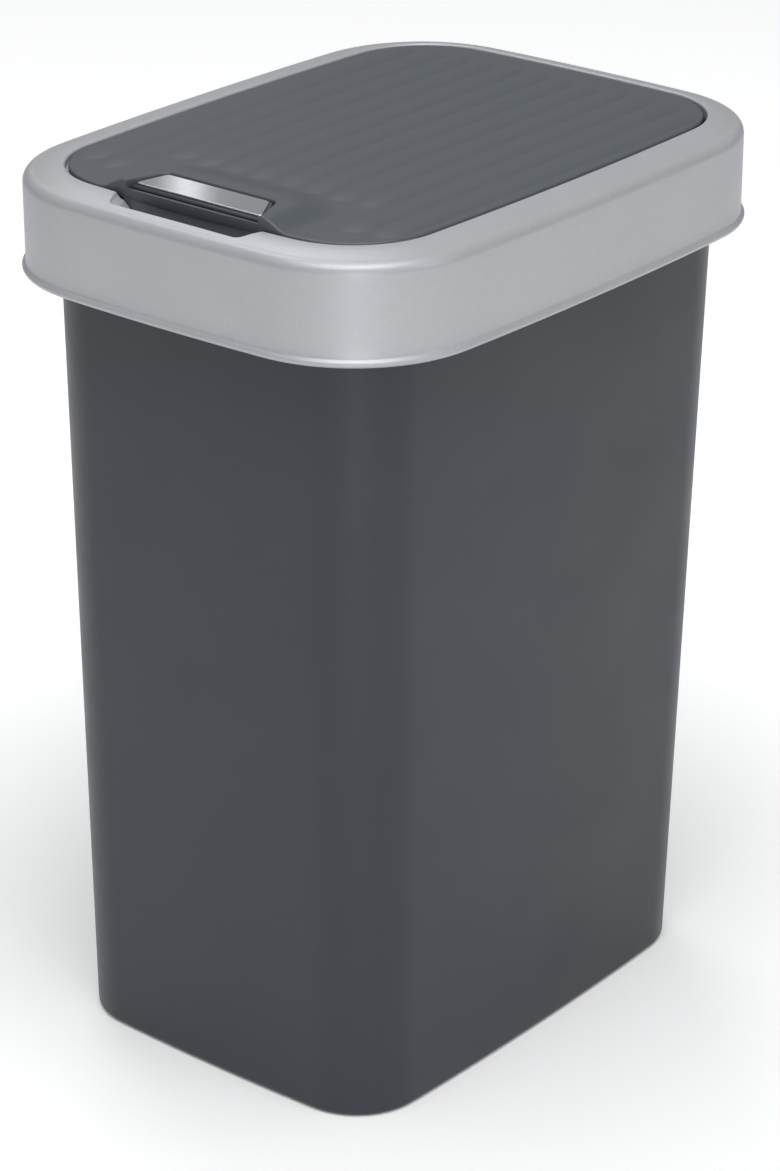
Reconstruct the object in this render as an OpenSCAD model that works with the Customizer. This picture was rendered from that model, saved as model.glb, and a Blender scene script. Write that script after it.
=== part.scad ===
// Push top countertop bin: a tapered bucket, a lift-off lid frame, a ribbed flap hinged at the rear
// and a rocking release button at the front. Millimetres, +Z up, front towards -Y.

/* [Bucket] */
// Outside width of the bucket at its base
base_w = 149.5; // [120:0.5:180]
// Outside depth of the bucket at its base
base_d = 200; // [165:0.5:240]
// Corner radius of the bucket at its base
base_r = 27; // [20:0.5:34]
// Height of the bucket's rim above the table
bucket_h = 311; // [250:1:380]
// How far the sides and the front lean out between base and rim
lean = 3.2; // [2:0.1:6]
// How far the rear leans out between base and rim
rear_lean = 13.2; // [9:0.1:15]
// How far the base lies forward of the lid's middle
base_shift = 2.9; // [2:0.1:4]
// Thickness of the bucket's wall
wall = 2; // [1.5:0.1:2.4]
// Thickness of the bucket's floor
floor_t = 2.5; // [2:0.1:4]
// Height of the foot ring that the bucket stands on
foot_h = 3; // [2:0.1:5]
// Width of the rim outside the wall at the sides
rim_side = 12; // [10:0.1:13]
// Mean width of the rim outside the wall at the front and the rear
rim_end = 8.9; // [8:0.1:10]
// Height of the rim's turned-down lip
rim_lip_h = 8; // [5:0.5:12]

/* [Lid frame] */
// Height of the lid's top face above the bucket's rim
lid_rise = 19; // [18.5:0.1:24]
// How far the skirt hangs below the bucket's rim
skirt_drop = 18; // [12:0.5:24]
// Thickness of the skirt and of the top band
shell_t = 2.2; // [1.8:0.1:2.6]
// Outer corner radius of the skirt
skirt_r = 48.4; // [44:0.1:52]
// How far the skirt's bottom bead stands out
bead = 1.3; // [0.8:0.1:2]
// Width of the top band along each long side
band_side = 15; // [13:0.1:18]
// Width of the top band at the front
band_front = 14.7; // [14:0.1:16]
// Width of the top band at the rear
band_rear = 12; // [11.5:0.1:16]
// How far the top band falls from the flap to the skirt
band_fall = 3.4; // [2:0.1:4.5]
// Radius that joins the top band to the skirt
shoulder_r = 4; // [3:0.1:6]

/* [Flap] */
// Thickness of the flap's panel at its edge
panel_t = 2.2; // [1.8:0.1:2.6]
// Gap round the sides and front of the flap
flap_gap = 1.2; // [0.9:0.1:1.6]
// Gap behind the flap, which its rear edge swings through
rear_gap = 1.6; // [1.4:0.1:2.4]
// Number of ridges on the flap
ridge_count = 12; // [6:1:15]
// Height of each ridge
ridge_h = 0.8; // [0.4:0.1:1.2]
// Height of the raised hood that carries the button
hood_h = 4.2; // [3.4:0.1:5]

/* [Button] */
// Width of the bright trim along its front edge
trim_w = 56; // [46:0.5:60]
// Width of the bright trim along its rear edge
trim_back_w = 45; // [36:0.5:48]
// Depth of the bright trim from front to back
trim_d = 10.5; // [8:0.1:12]
// Radius of the bright trim's rear corners
trim_r = 2.2; // [1:0.1:3]
// Thickness of the bright trim
trim_t = 0.8; // [0.6:0.1:1.2]
// How far the barb reaches under the keeper
catch = 1; // [0.8:0.1:1.2]

/* [Hinge] */
// Diameter of each hinge pin
pin_d = 3; // [2.5:0.1:3.2]
// Distance of each hinge from the middle
hinge_x = 61; // [54:0.5:62]
// Distance of the hinges' axis from the flap's rear edge
hinge_back = 36; // [34:0.5:44]
// Thickness of each ear of the hinge cradles
ear_t = 3; // [2.4:0.1:4]
// Thickness of the flap's hinge knuckles
knuckle_t = 4; // [3:0.1:5]
// Wire thickness of the torsion springs
spring_wire = 0.7; // [0.5:0.05:0.75]
// Turns in each torsion spring
spring_turns = 7; // [4:1:7]

/* [Hidden] */

// Colours, as in the photograph
dark_grey = [0.30, 0.32, 0.34];
flap_grey = [0.36, 0.39, 0.42];
silver_grey = [0.66, 0.67, 0.69];
bright = [0.85, 0.85, 0.86];
steel = [0.6, 0.6, 0.62];

// Points along half a side and round a corner of each outline
side_n = 3;
corner_n = 9;
round_fn = 48;
eps = 0.01;

// Clearances
seat_gap = 0.3;
run_gap = 0.05;
part_gap = 0.4;

// Outlines are [width, depth, corner radius, bow of the long sides, bow of the short sides]
long_bow = 1.6;
short_bow = 1;
function grow(o, g) = [o[0] + 2 * g, o[1] + 2 * g, o[2] + g, o[3], o[4]];
function mix(a, b, f) = a * (1 - f) + b * f;
base_o = [base_w, base_d, base_r, long_bow, short_bow];
rim_wall_o = [base_w + 2 * lean, base_d + lean + rear_lean, base_r + lean / 3, long_bow, short_bow];
rim_shift = (rear_lean - lean) / 2 - base_shift;
skirt_gap = 0.8;
skirt_o = [rim_wall_o[0] + 2 * (rim_side + skirt_gap + shell_t),
    rim_wall_o[1] + 2 * (rim_end + skirt_gap + shell_t), skirt_r, long_bow, short_bow];
rim_o = grow(skirt_o, -shell_t - skirt_gap);
opening_o = [skirt_o[0] - 2 * band_side, skirt_o[1] - band_front - band_rear,
    skirt_r - band_side, long_bow, short_bow];
opening_shift = (band_front - band_rear) / 2;
flap_o = [opening_o[0] - 2 * flap_gap, opening_o[1] - flap_gap - rear_gap,
    opening_o[2] - flap_gap, long_bow, short_bow];
flap_shift = opening_shift + (flap_gap - rear_gap) / 2;

// Heights
top_z = bucket_h + lid_rise;
skirt_z = bucket_h - skirt_drop;
flange_z = bucket_h + seat_gap;
flange_t = 2;
under_z = top_z - panel_t;
ledge_z = under_z - seat_gap;
ledge_t = 2;
ledge_in = 3;
collar_t = 2;

// Front of the flap, where the hood, the scoop and the button are measured from
front_y = flap_shift - flap_o[1] / 2;
rear_y = flap_shift + flap_o[1] / 2;

// Notch in the lid frame, filled by the flap's scoop
notch_back = 32.3;
notch_front = 28.5;
notch_reach = 8.6;
notch_r = 3.5;
notch_draft = 6;
notch_low_z = top_z - 9;
notch_wall = 2.5;

// Hood
hood_top_half = 30;
hood_foot_half = 42;
hood_len = 20;
hood_tail = 20;
hood_r = 6;

// Button
bar_r = 0.85;
bar_rise = 0.3;
trim_front_y = front_y + 3.7;
trim_rear_y = trim_front_y + trim_d;
button_margin = 1.1;
button_tilt = 7;
plate_t = 1;
button_z = top_z + 3;
pivot_y = front_y + 19.6;
pivot_z = top_z - 0.6;
button_pin_d = 2.5;
boss_r = 2.3;
boss_x = 19;
boss_t = 4;
well_half = 23;
well_wall = 2;
front_wall_z = top_z + 1.4;
well_front = front_y + 1.3;
well_rear = pivot_y + 3.6;
well_low_z = top_z - 7.5;
roof_z = pivot_z + boss_r + part_gap;
mouth_floor_z = top_z - 1.1;
well_floor_front = pivot_y - 8.5;
leg_half = 8;
leg_t = 2;
leg_y = front_y + 6.9;

// Keeper that the barb hooks under
keeper_half = 12;
keeper_t = 2;
keeper_z = flange_z + 4;
keeper_edge = front_y + 4.6;
barb_h = 3.4;

// Scoop
scoop_r = 9.2;
scoop_t = 2;
scoop_z = top_z - 1.3;
scoop_sweep = 80;
scoop_set = 0.5;

// Button spring
coil_r = 2.4;
coil_wire = 0.6;
coil_turns = 5;
coil_y = pivot_y - 5.2;
coil_seat_z = well_low_z + well_wall;

// Hinge
axis_y = rear_y - hinge_back;
axis_z = top_z - 5.5;
barrel_r = 3;
hub_r = 2.9;
half_station = 13;
side_gap = 0.3;
shelf_front = axis_y - 6;
shelf_depth = 8.4;
cradle_base_t = 2;
web_t = 2;
hinge_coil_r = 2.3;
leg_len = 7;
screw_r = 1.5;
head_r = 2.8;
head_t = 1.4;
screw_y = axis_y - 0.9;

// Half of an outline's quarter is a bowed side, and a corner arc joins the two sides
function quarter(o) =
    let (hx = o[0] / 2 - o[3] - o[2], hy = o[1] / 2 - o[4] - o[2],
        ax = atan(2 * o[3] / hy), ay = atan(2 * o[4] / hx),
        ly = hy + o[2] * sin(ax), lx = hx + o[2] * sin(ay))
    concat(
        [for (i = [0 : side_n - 1]) let (t = i / side_n) [o[0] / 2 - o[3] * t * t, t * ly]],
        [for (i = [0 : corner_n]) let (a = ax + (90 - ax - ay) * i / corner_n)
            [hx + o[2] * cos(a), hy + o[2] * sin(a)]],
        [for (i = [side_n - 1 : -1 : 1]) let (t = i / side_n) [t * lx, o[1] / 2 - o[4] * t * t]]);
function flip(q) = concat([[0, 0]], [for (i = [len(q) - 1 : -1 : 1]) [-q[i][0], q[i][1]]]);
function outline(o) =
    let (q = quarter(o), m = flip(q), p = concat([[0, o[1] / 2]], [for (i = [1 : len(m) - 1]) m[i]]),
        half = concat(q, p))
    concat(half, [for (v = half) -v]);
function ring(o, z, shift = 0) = [for (p = outline(o)) [p[0], p[1] + shift, z]];

// Triangles between rings of n points, and from the last ring to the first if the form is closed
function band_faces(m, n, closed = false) =
    [for (i = [0 : m - (closed ? 1 : 2)]) let (k = (i + 1) % m) for (j = [0 : n - 1])
        let (l = (j + 1) % n) for (s = [0, 1])
            s == 0 ? [i * n + j, k * n + l, i * n + l] : [i * n + j, k * n + j, k * n + l]];

function turned(faces) = [for (f = faces) [f[0], f[2], f[1]]];

// A solid through a stack of rings, from the lowest up, with flat ends
module stack(rings) {
    n = len(rings[0]);
    m = len(rings);
    polyhedron(points = [for (r = rings) each r],
        faces = concat([[for (j = [0 : n - 1]) j]], band_faces(m, n),
            [[for (j = [n - 1 : -1 : 0]) (m - 1) * n + j]]));
}

// A closed hoop whose section runs through rings, from the inside over the top to the outside
module hoop(rings) {
    n = len(rings[0]);
    m = len(rings);
    polyhedron(points = [for (r = rings) each r], faces = turned(band_faces(m, n, true)));
}

// A tapered plan whose two front corners are rounded, wider at the back
function taper_plan(back, front, y_back, y_front, r) =
    let (k = atan2(back - front, y_back - y_front), n = [cos(k), -sin(k)],
        cy = y_front + r, cx = (back * n[0] + y_back * n[1] - r - n[1] * cy) / n[0],
        side = concat([for (i = [0 : 6]) let (a = -90 + (90 - k) * i / 6) [cx + r * cos(a), cy + r * sin(a)]],
            [[back, y_back]]))
    concat(side, [for (i = [len(side) - 1 : -1 : 0]) [-side[i][0], side[i][1]]]);
function lift(plan, z) = [for (p = plan) [p[0], p[1], z]];

// A tube of round wire along points, with six sides
wire_sides = 6;
function unit(v) = v / norm(v);
function heading(path, i) = unit(path[min(i + 1, len(path) - 1)] - path[max(i - 1, 0)]);
module wire(path, d, up) {
    rings = [for (i = [0 : len(path) - 1])
        let (t = heading(path, i), a = unit(cross(t, up[i])), b = cross(a, t))
        [for (j = [0 : wire_sides - 1]) let (q = 360 * j / wire_sides)
            path[i] + d / 2 * (cos(q) * a + sin(q) * b)]];
    n = wire_sides;
    m = len(rings);
    polyhedron(points = [for (r = rings) each r],
        faces = concat([[for (j = [n - 1 : -1 : 0]) j]], turned(band_faces(m, n)),
            [[for (j = [0 : n - 1]) (m - 1) * n + j]]));
}

// Least gap between neighbouring turns of a coil, measured on its points
curl_steps = 8;
function least_gap(path, d) =
    min([for (i = [0 : len(path) - 1]) for (j = [i + curl_steps - 2 : 1 : len(path) - 1])
        norm(path[i] - path[j]) - d]);

// The wall, the foot ring, the rim with its turned-down lip and the inside, as one skin
module bucket() {
    foot_in = 3.4;
    edge_r = 2.5;
    fillet = 3;
    rim_t = 2;
    lip_t = 1.6;
    inner_low = foot_h + floor_t;
    lip_o = grow(rim_o, -lip_t);
    wall_ring = function (z, g) ring(grow(mix(base_o, rim_wall_o, z / bucket_h), g), z,
        mix(-base_shift, rim_shift, z / bucket_h));
    foot_ring = function (g, z) ring(grow(base_o, g), z, -base_shift);
    color(dark_grey)
    stack([
        foot_ring(-foot_in - 1, foot_h),
        foot_ring(-foot_in, 0.4),
        foot_ring(-foot_in + 0.4, 0),
        foot_ring(-edge_r / 2, 0),
        foot_ring(-edge_r / 6, edge_r / 3),
        wall_ring(edge_r, 0),
        wall_ring(bucket_h - rim_t - fillet, 0),
        wall_ring(bucket_h - rim_t - fillet / 3, fillet / 3),
        ring(mix(lip_o, rim_wall_o, 0.2), bucket_h - rim_t, rim_shift * 0.2),
        ring(lip_o, bucket_h - rim_t - 0.8),
        ring(lip_o, bucket_h - rim_lip_h),
        ring(rim_o, bucket_h - rim_lip_h),
        ring(rim_o, bucket_h - 1),
        ring(grow(rim_o, -1), bucket_h),
        wall_ring(bucket_h, -wall + 0.8),
        wall_ring(bucket_h - 1, -wall),
        wall_ring(inner_low + fillet, -wall),
        wall_ring(inner_low + 1, -wall - 1),
        wall_ring(inner_low, -wall - fillet)
    ]);
}

// Height of the top band a share f of the way from the flap's opening to the skirt
function band_z(f) = top_z - band_fall * f * f;
function band_o(f) = mix(opening_o, skirt_o, f);
function band_shift(f) = opening_shift * (1 - f);

// The ledge fades out towards the hinges, behind which the flap swings down
ledge_fade = [axis_y - 22, axis_y - 14];
ledge_rest = 0.05;
function ledge_ring(z) =
    let (a = ring(opening_o, z, opening_shift), b = ring(grow(opening_o, -ledge_in), z, opening_shift))
    [for (i = [0 : len(a) - 1])
        let (w = max(ledge_rest, min(1, (ledge_fade[1] - a[i][1]) / (ledge_fade[1] - ledge_fade[0]))))
        a[i] * (1 - w) + b[i] * w];

module frame_hoop() {
    arc_n = 4;
    shoulder_f = 1 - shoulder_r / band_side;
    shoulder_z = band_z(shoulder_f) - shoulder_r;
    inner_f = 0.72;
    skirt_in = grow(skirt_o, -shell_t);
    hoop(concat(
        [ring(grow(opening_o, 0), top_z - 0.8, opening_shift),
            ring(grow(opening_o, 0.2), top_z - 0.2, opening_shift),
            ring(grow(opening_o, 0.8), top_z, opening_shift)],
        [for (f = [0.3, 0.55]) ring(band_o(f), band_z(f), band_shift(f))],
        [for (i = [0 : arc_n]) let (a = 90 * i / arc_n, f = shoulder_f + (1 - shoulder_f) * sin(a))
            ring(band_o(f), shoulder_z + shoulder_r * cos(a), band_shift(f))],
        [ring(skirt_o, skirt_z + bead * 2.2),
            ring(grow(skirt_o, bead * 0.35), skirt_z + bead * 1.75),
            ring(grow(skirt_o, bead * 0.9), skirt_z + bead * 1.5),
            ring(grow(skirt_o, bead), skirt_z + bead),
            ring(grow(skirt_o, bead * 0.8), skirt_z + 0.3),
            ring(grow(skirt_o, bead * 0.4), skirt_z),
            ring(skirt_in, skirt_z),
            ring(skirt_in, shoulder_z - 1),
            ring(band_o(inner_f), band_z(inner_f) - shell_t, band_shift(inner_f)),
            ring(grow(opening_o, collar_t + 1), top_z - shell_t - 0.3, opening_shift),
            ring(grow(opening_o, collar_t), top_z - shell_t - 1.3, opening_shift),
            ring(grow(opening_o, collar_t), flange_z + flange_t, opening_shift),
            ring(grow(rim_o, -1), flange_z + flange_t),
            ring(grow(rim_o, -1), flange_z),
            ring(opening_o, flange_z, opening_shift),
            ring(opening_o, ledge_z - ledge_t, opening_shift),
            ledge_ring(ledge_z - ledge_t),
            ledge_ring(ledge_z),
            ring(opening_o, ledge_z, opening_shift)]));
}

// The notch's space in the lid frame, or, with a gap, the outline that the flap's scoop keeps to
module notch_space(gap, low_z) {
    back_y = front_y + 6;
    fall = (notch_back - notch_front) / (flap_gap + notch_reach);
    wide = notch_back + fall * (back_y - front_y);
    over = 4;
    slope = notch_draft / (top_z - notch_low_z);
    front_top = front_y - notch_reach + gap;
    stack([
        lift(taper_plan(wide - notch_draft - gap, notch_front - notch_draft - gap, back_y,
            front_top + 1.2, notch_r), low_z),
        lift(taper_plan(wide - notch_draft - gap, notch_front - notch_draft - gap, back_y,
            front_top + 1.2, notch_r), notch_low_z),
        lift(taper_plan(wide - gap, notch_front - gap, back_y, front_top, notch_r), top_z),
        lift(taper_plan(wide - gap + slope * over, notch_front - gap + slope * over, back_y,
            front_top - 0.2, notch_r), top_z + over)
    ]);
}

module lid_frame() {
    block_front = front_y - notch_reach - notch_wall;
    shelf_in = hinge_x - half_station - 2;
    color(silver_grey)
    difference() {
        union() {
            frame_hoop();
            translate([-notch_back - notch_wall, block_front, flange_z + 0.1])
            cube([2 * (notch_back + notch_wall), front_y - flap_gap - 1 - block_front,
                top_z - shell_t - flange_z - 0.8]);
            for (side = [0, 1])
            mirror([side, 0, 0])
            translate([shelf_in, shelf_front, flange_z])
            cube([opening_o[0] / 2 + 1 - shelf_in, shelf_depth, flange_t]);
        }
        difference() {
            notch_space(0, flange_z - 1);
            translate([-keeper_half, block_front, keeper_z])
            cube([2 * keeper_half, keeper_edge - block_front, keeper_t]);
        }
        for (side = [-1, 1])
        for (off = [-1, 1])
        translate([side * hinge_x + off * half_station / 2, screw_y, flange_z - 1])
        cylinder(r = screw_r + run_gap, h = flange_t + 2, $fn = round_fn);
    }
}

// The cradle stands on one of the lid frame's two side shelves and carries a hinge pin
module hinge_cradle(side) {
    base_z = flange_z + flange_t;
    ear_front = axis_y - 5.2;
    color(silver_grey)
    translate([side * hinge_x, 0, 0])
    difference() {
        union() {
            translate([-half_station, shelf_front, base_z])
            cube([2 * half_station, shelf_depth, cradle_base_t]);
            translate([-half_station, shelf_front, base_z])
            cube([2 * half_station, web_t, axis_z - hinge_coil_r - spring_wire / 2 - seat_gap - base_z]);
            for (end = [-1, 1])
            translate([end > 0 ? half_station - ear_t : -half_station, 0, 0]) {
                translate([0, axis_y, axis_z])
                rotate([0, 90, 0])
                cylinder(r = hub_r, h = ear_t, $fn = round_fn);
                rotate([90, 0, 90])
                linear_extrude(ear_t)
                polygon([[shelf_front + eps, base_z + eps], [axis_y, base_z + eps],
                    [axis_y + 0.2, axis_z - 1], [axis_y - hub_r + 0.4, axis_z + 1], [ear_front, axis_z - 5]]);
            }
        }
        translate([-half_station - 1, axis_y, axis_z])
        rotate([0, 90, 0])
        cylinder(d = pin_d, h = 2 * half_station + 2, $fn = round_fn);
        for (off = [-1, 1])
        translate([off * half_station / 2, screw_y, base_z - 1])
        cylinder(r = screw_r, h = cradle_base_t + 2, $fn = round_fn);
    }
}

module hinge_cradle_left() {
    hinge_cradle(-1);
}

module hinge_cradle_right() {
    hinge_cradle(1);
}

// Pan-head screws that hold both cradles from below
module cradle_screws() {
    color(steel)
    for (side = [-1, 1])
    for (off = [-1, 1])
    translate([side * hinge_x + off * half_station / 2, screw_y, flange_z])
    rotate_extrude($fn = round_fn)
    polygon([[0, -head_t], [head_r - 0.8, -head_t], [head_r, -head_t + 0.7], [head_r, 0], [screw_r, 0],
        [screw_r, flange_t + cradle_base_t - 0.3], [screw_r - 0.4, flange_t + cradle_base_t],
        [0, flange_t + cradle_base_t]]);
}

module hinge_pin(side) {
    chamfer = 0.4;
    color(steel)
    translate([side * hinge_x - half_station, axis_y, axis_z])
    rotate([0, 90, 0])
    rotate_extrude($fn = round_fn)
    polygon([[0, 0], [pin_d / 2 - chamfer, 0], [pin_d / 2, chamfer], [pin_d / 2, 2 * half_station - chamfer],
        [pin_d / 2 - chamfer, 2 * half_station], [0, 2 * half_station]]);
}

module hinge_pin_left() {
    hinge_pin(-1);
}

module hinge_pin_right() {
    hinge_pin(1);
}

// The coil rides loosely round the pin, between the knuckles; one leg lies under the flap's
// panel and the other on the cradle's web
spring_pitch = (2 * (half_station - ear_t - side_gap - knuckle_t - 0.6) - spring_wire) / (spring_turns + 0.5);
function hinge_coil(side) =
    let (x0 = side * hinge_x - spring_pitch * (spring_turns + 0.5) / 2, total = curl_steps * (spring_turns + 0.5))
    concat(
        [for (s = [leg_len, leg_len * 0.5, spring_wire]) [x0, axis_y - s, axis_z + hinge_coil_r]],
        [for (i = [0 : total]) let (a = 90 - 360 * i / curl_steps)
            [x0 + spring_pitch * i / curl_steps, axis_y + hinge_coil_r * cos(a), axis_z + hinge_coil_r * sin(a)]],
        [for (s = [spring_wire, leg_len * 0.5, leg_len])
            [x0 + spring_pitch * (spring_turns + 0.5), axis_y - s, axis_z - hinge_coil_r]]);
module hinge_spring(side) {
    path = hinge_coil(side);
    echo(hinge_spring_least_gap = least_gap(path, spring_wire));
    color(steel)
    wire(path, spring_wire, [for (p = path) [1, 0, 0]]);
}

module hinge_spring_left() {
    hinge_spring(-1);
}

module hinge_spring_right() {
    hinge_spring(1);
}

// One ridge: a low arched strip whose ends narrow and sink into the panel
ridge_border = 4.6;
ridge_pitch = (flap_o[0] - 2 * ridge_border) / ridge_count;
ridge_n = 6;
ridge_tip = 9;
ridge_sink = 0.6;
valley = 0.3;
function ridge_ring(x, y, share) =
    let (w = (ridge_pitch - valley) / 2 * sqrt(share), h = ridge_h * share)
    concat([for (i = [0 : ridge_n]) let (u = 2 * i / ridge_n - 1) [x + w * u, y, top_z - 0.02 + h * (1 - u * u)]],
        [[x + w, y, top_z - ridge_sink], [x - w, y, top_z - ridge_sink]]);
module ridge(x, y0, y1) {
    ends = [0.02, 0.15, 0.45, 1];
    stack(concat(
        [for (s = ends) ridge_ring(x, y0 + ridge_tip * s, 1 - pow(1 - s, 2) * 0.95)],
        [for (i = [len(ends) - 1 : -1 : 0]) ridge_ring(x, y1 - ridge_tip * ends[i], 1 - pow(1 - ends[i], 2) * 0.95)]));
}

module ridges() {
    rear_end = rear_y - 9;
    side_start = front_y + 15;
    middle_start = front_y + hood_len + hood_tail - 2;
    for (i = [0 : ridge_count - 1]) {
        x = (i - (ridge_count - 1) / 2) * ridge_pitch;
        edge = max(0, abs(x) - (flap_o[0] / 2 - flap_o[2])) / flap_o[2];
        ease = flap_o[2] * (1 - sqrt(1 - min(1, edge * edge))) * 0.8;
        ridge(x, (abs(x) < hood_foot_half + 2 ? middle_start : side_start) + ease * 0.4, rear_end - ease);
    }
}

// The hood swells out of the panel round the button and is cut off flush at the flap's front
module hood() {
    low = [2 * hood_foot_half, 2 * (hood_len + hood_tail), 24, 0.5, 0.5];
    high = [2 * hood_top_half, 2 * hood_len, hood_r, 0.2, 0.2];
    start_z = top_z - 1;
    intersection() {
        stack(concat([ring(low, start_z, front_y), ring(low, top_z - 0.1, front_y)],
            [for (s = [0.12, 0.3, 0.5, 0.7, 0.88, 1])
                ring(mix(low, high, s), top_z + hood_h * (1 - cos(180 * s)) / 2, front_y)],
            [ring(grow(high, -3), top_z + hood_h + 0.15, front_y)]));
        translate([-hood_foot_half - 1, front_y, top_z - 2])
        cube([2 * hood_foot_half + 2, hood_len + hood_tail + 2, hood_h + 4]);
    }
}

// The scoop hangs from the flap's front edge into the lid frame's notch
module scoop() {
    cy = front_y + scoop_set - scoop_r;
    n = 9;
    intersection() {
        translate([-notch_back, 0, 0])
        rotate([90, 0, 90])
        linear_extrude(2 * notch_back)
        polygon(concat(
            [[front_y + scoop_set, top_z - 0.4], [front_y + scoop_set + scoop_t, top_z - 0.4]],
            [for (i = [0 : n]) let (a = -scoop_sweep * i / n)
                [cy + (scoop_r + scoop_t) * cos(a), scoop_z + (scoop_r + scoop_t) * sin(a)]],
            [for (i = [n : -1 : 0]) let (a = -scoop_sweep * i / n)
                [cy + scoop_r * cos(a), scoop_z + scoop_r * sin(a)]]));
        notch_space(0.7, keeper_z + keeper_t + 0.2);
    }
}

module plan_shape(o, shift) {
    translate([0, shift])
    polygon(outline(o));
}

module stiffening_rib() {
    rib_in = 6;
    rib_t = 1.8;
    rib_h = 5.5;
    rib_front = front_y + 10;
    rib_rear = axis_y - 12;
    rib_o = [flap_o[0] - 2 * rib_in, rib_rear - rib_front, flap_o[2] - rib_in, long_bow, short_bow];
    translate([0, 0, under_z - rib_h])
    linear_extrude(rib_h + 0.5)
    difference() {
        plan_shape(rib_o, (rib_front + rib_rear) / 2);
        plan_shape(grow(rib_o, -rib_t), (rib_front + rib_rear) / 2);
    }
}

// Knuckles under the flap's panel, one each side of every torsion spring
module knuckles() {
    inner = half_station - ear_t - side_gap - knuckle_t;
    for (side = [-1, 1])
    for (end = [-1, 1])
    translate([side * hinge_x + (end > 0 ? inner : -inner - knuckle_t), axis_y, axis_z]) {
        rotate([0, 90, 0])
        cylinder(r = barrel_r, h = knuckle_t, $fn = round_fn);
        translate([0, -barrel_r, 0])
        cube([knuckle_t, 2 * barrel_r, under_z - axis_z + 0.5]);
    }
}

module hinge_bores() {
    for (side = [-1, 1])
    translate([side * hinge_x - half_station, axis_y, axis_z])
    rotate([0, 90, 0])
    cylinder(d = pin_d + 2 * run_gap, h = 2 * half_station, $fn = round_fn);
}

module mouth_plan(from_y) {
    margin = button_margin + 0.7;
    half = trim_w / 2 + margin;
    trim_plan(margin);
    translate([-half, from_y])
    square([2 * half, trim_front_y - margin + eps - from_y]);
}

// Opening in the hood for the button's plate, open at the front above the front wall
module button_mouth() {
    translate([0, 0, front_wall_z])
    linear_extrude(hood_h + 4)
    mouth_plan(front_y - 2);
    translate([0, 0, mouth_floor_z])
    linear_extrude(hood_h + 4)
    mouth_plan(well_front);
    translate([-well_half, well_front, well_low_z - 1])
    cube([2 * well_half, well_rear - well_front, roof_z + 1 - well_low_z]);
}

// Box under the hood that holds the button's pin and carries its spring
module well_box() {
    translate([-well_half - well_wall, well_front, well_low_z])
    cube([2 * (well_half + well_wall), well_rear + well_wall - well_front, top_z + 3 - well_low_z]);
}

module well_floor() {
    translate([-well_half - 0.5, well_floor_front, well_low_z])
    cube([2 * well_half + 1, well_rear + 0.5 - well_floor_front, well_wall]);
    translate([0, coil_y, coil_seat_z - 0.5])
    cylinder(r = coil_r - coil_wire / 2 - 0.3, h = 1.7, $fn = round_fn);
}

module flap() {
    edge_r = 0.9;
    color(flap_grey)
    union() {
        difference() {
            union() {
                stack([ring(grow(flap_o, -0.2), under_z, flap_shift),
                    ring(flap_o, under_z + 0.3, flap_shift),
                    ring(flap_o, top_z - edge_r, flap_shift),
                    ring(grow(flap_o, -edge_r * 0.3), top_z - edge_r * 0.3, flap_shift),
                    ring(grow(flap_o, -edge_r), top_z, flap_shift)]);
                ridges();
                hood();
                scoop();
                stiffening_rib();
                knuckles();
                well_box();
            }
            button_mouth();
            hinge_bores();
            translate([-well_half - 5, pivot_y, pivot_z])
            rotate([0, 90, 0])
            cylinder(d = button_pin_d, h = 2 * well_half + 10, $fn = round_fn);
        }
        well_floor();
    }
}

// Plan of the bright trim, grown by a margin: narrower at the rear, where its corners are rounded
module trim_plan(margin) {
    turned_plan = taper_plan(trim_w / 2 + margin, trim_back_w / 2 + margin, margin - trim_front_y,
        -margin - trim_rear_y, trim_r + margin);
    polygon([for (p = turned_plan) [p[0], -p[1]]]);
}

module tilted() {
    translate([0, trim_front_y, button_z])
    rotate([button_tilt, 0, 0])
    translate([0, -trim_front_y, 0])
    children();
}

module release_button() {
    arm_front = trim_front_y + 2;
    barb_tip = keeper_edge - catch;
    barb_z = keeper_z - seat_gap;
    color(dark_grey)
    difference() {
        union() {
            tilted() {
                translate([0, 0, -plate_t - trim_t])
                linear_extrude(plate_t)
                trim_plan(button_margin);
                translate([-trim_w / 2 - button_margin, trim_front_y - button_margin, bar_rise - trim_t - bar_r])
                rotate([0, 90, 0])
                cylinder(r = bar_r, h = trim_w + 2 * button_margin, $fn = round_fn);
            }
            for (side = [-1, 1])
            translate([side * boss_x - boss_t / 2, 0, 0]) {
                translate([0, pivot_y, pivot_z])
                rotate([0, 90, 0])
                cylinder(r = boss_r, h = boss_t, $fn = round_fn);
                rotate([90, 0, 90])
                linear_extrude(boss_t)
                polygon([[arm_front, button_z - plate_t - 1.2], [arm_front, button_z - plate_t - 0.4],
                    [trim_rear_y, button_z - 0.3], [trim_rear_y + 1, roof_z - part_gap],
                    [pivot_y + boss_r * 0.3, pivot_z + boss_r * 0.9], [pivot_y, pivot_z - boss_r]]);
            }
            translate([-leg_half, 0, 0])
            rotate([90, 0, 90])
            linear_extrude(2 * leg_half)
            polygon([[leg_y, button_z - plate_t + 0.1], [leg_y, barb_z], [barb_tip, barb_z],
                [barb_tip, barb_z - 0.6], [leg_y + leg_t * 0.6, barb_z - barb_h],
                [leg_y + leg_t, barb_z - barb_h + 0.6], [leg_y + leg_t, button_z - plate_t + 0.1]]);
        }
        translate([-boss_x - boss_t, pivot_y, pivot_z])
        rotate([0, 90, 0])
        cylinder(d = button_pin_d + 2 * run_gap, h = 2 * (boss_x + boss_t), $fn = round_fn);
    }
}

module chrome_trim() {
    color(bright)
    tilted()
    translate([0, 0, -trim_t])
    linear_extrude(trim_t)
    trim_plan(0);
}

module button_pin() {
    half = well_half + well_wall;
    color(steel)
    translate([-half, pivot_y, pivot_z])
    rotate([0, 90, 0])
    cylinder(d = button_pin_d, h = 2 * half, $fn = round_fn);
}

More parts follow.
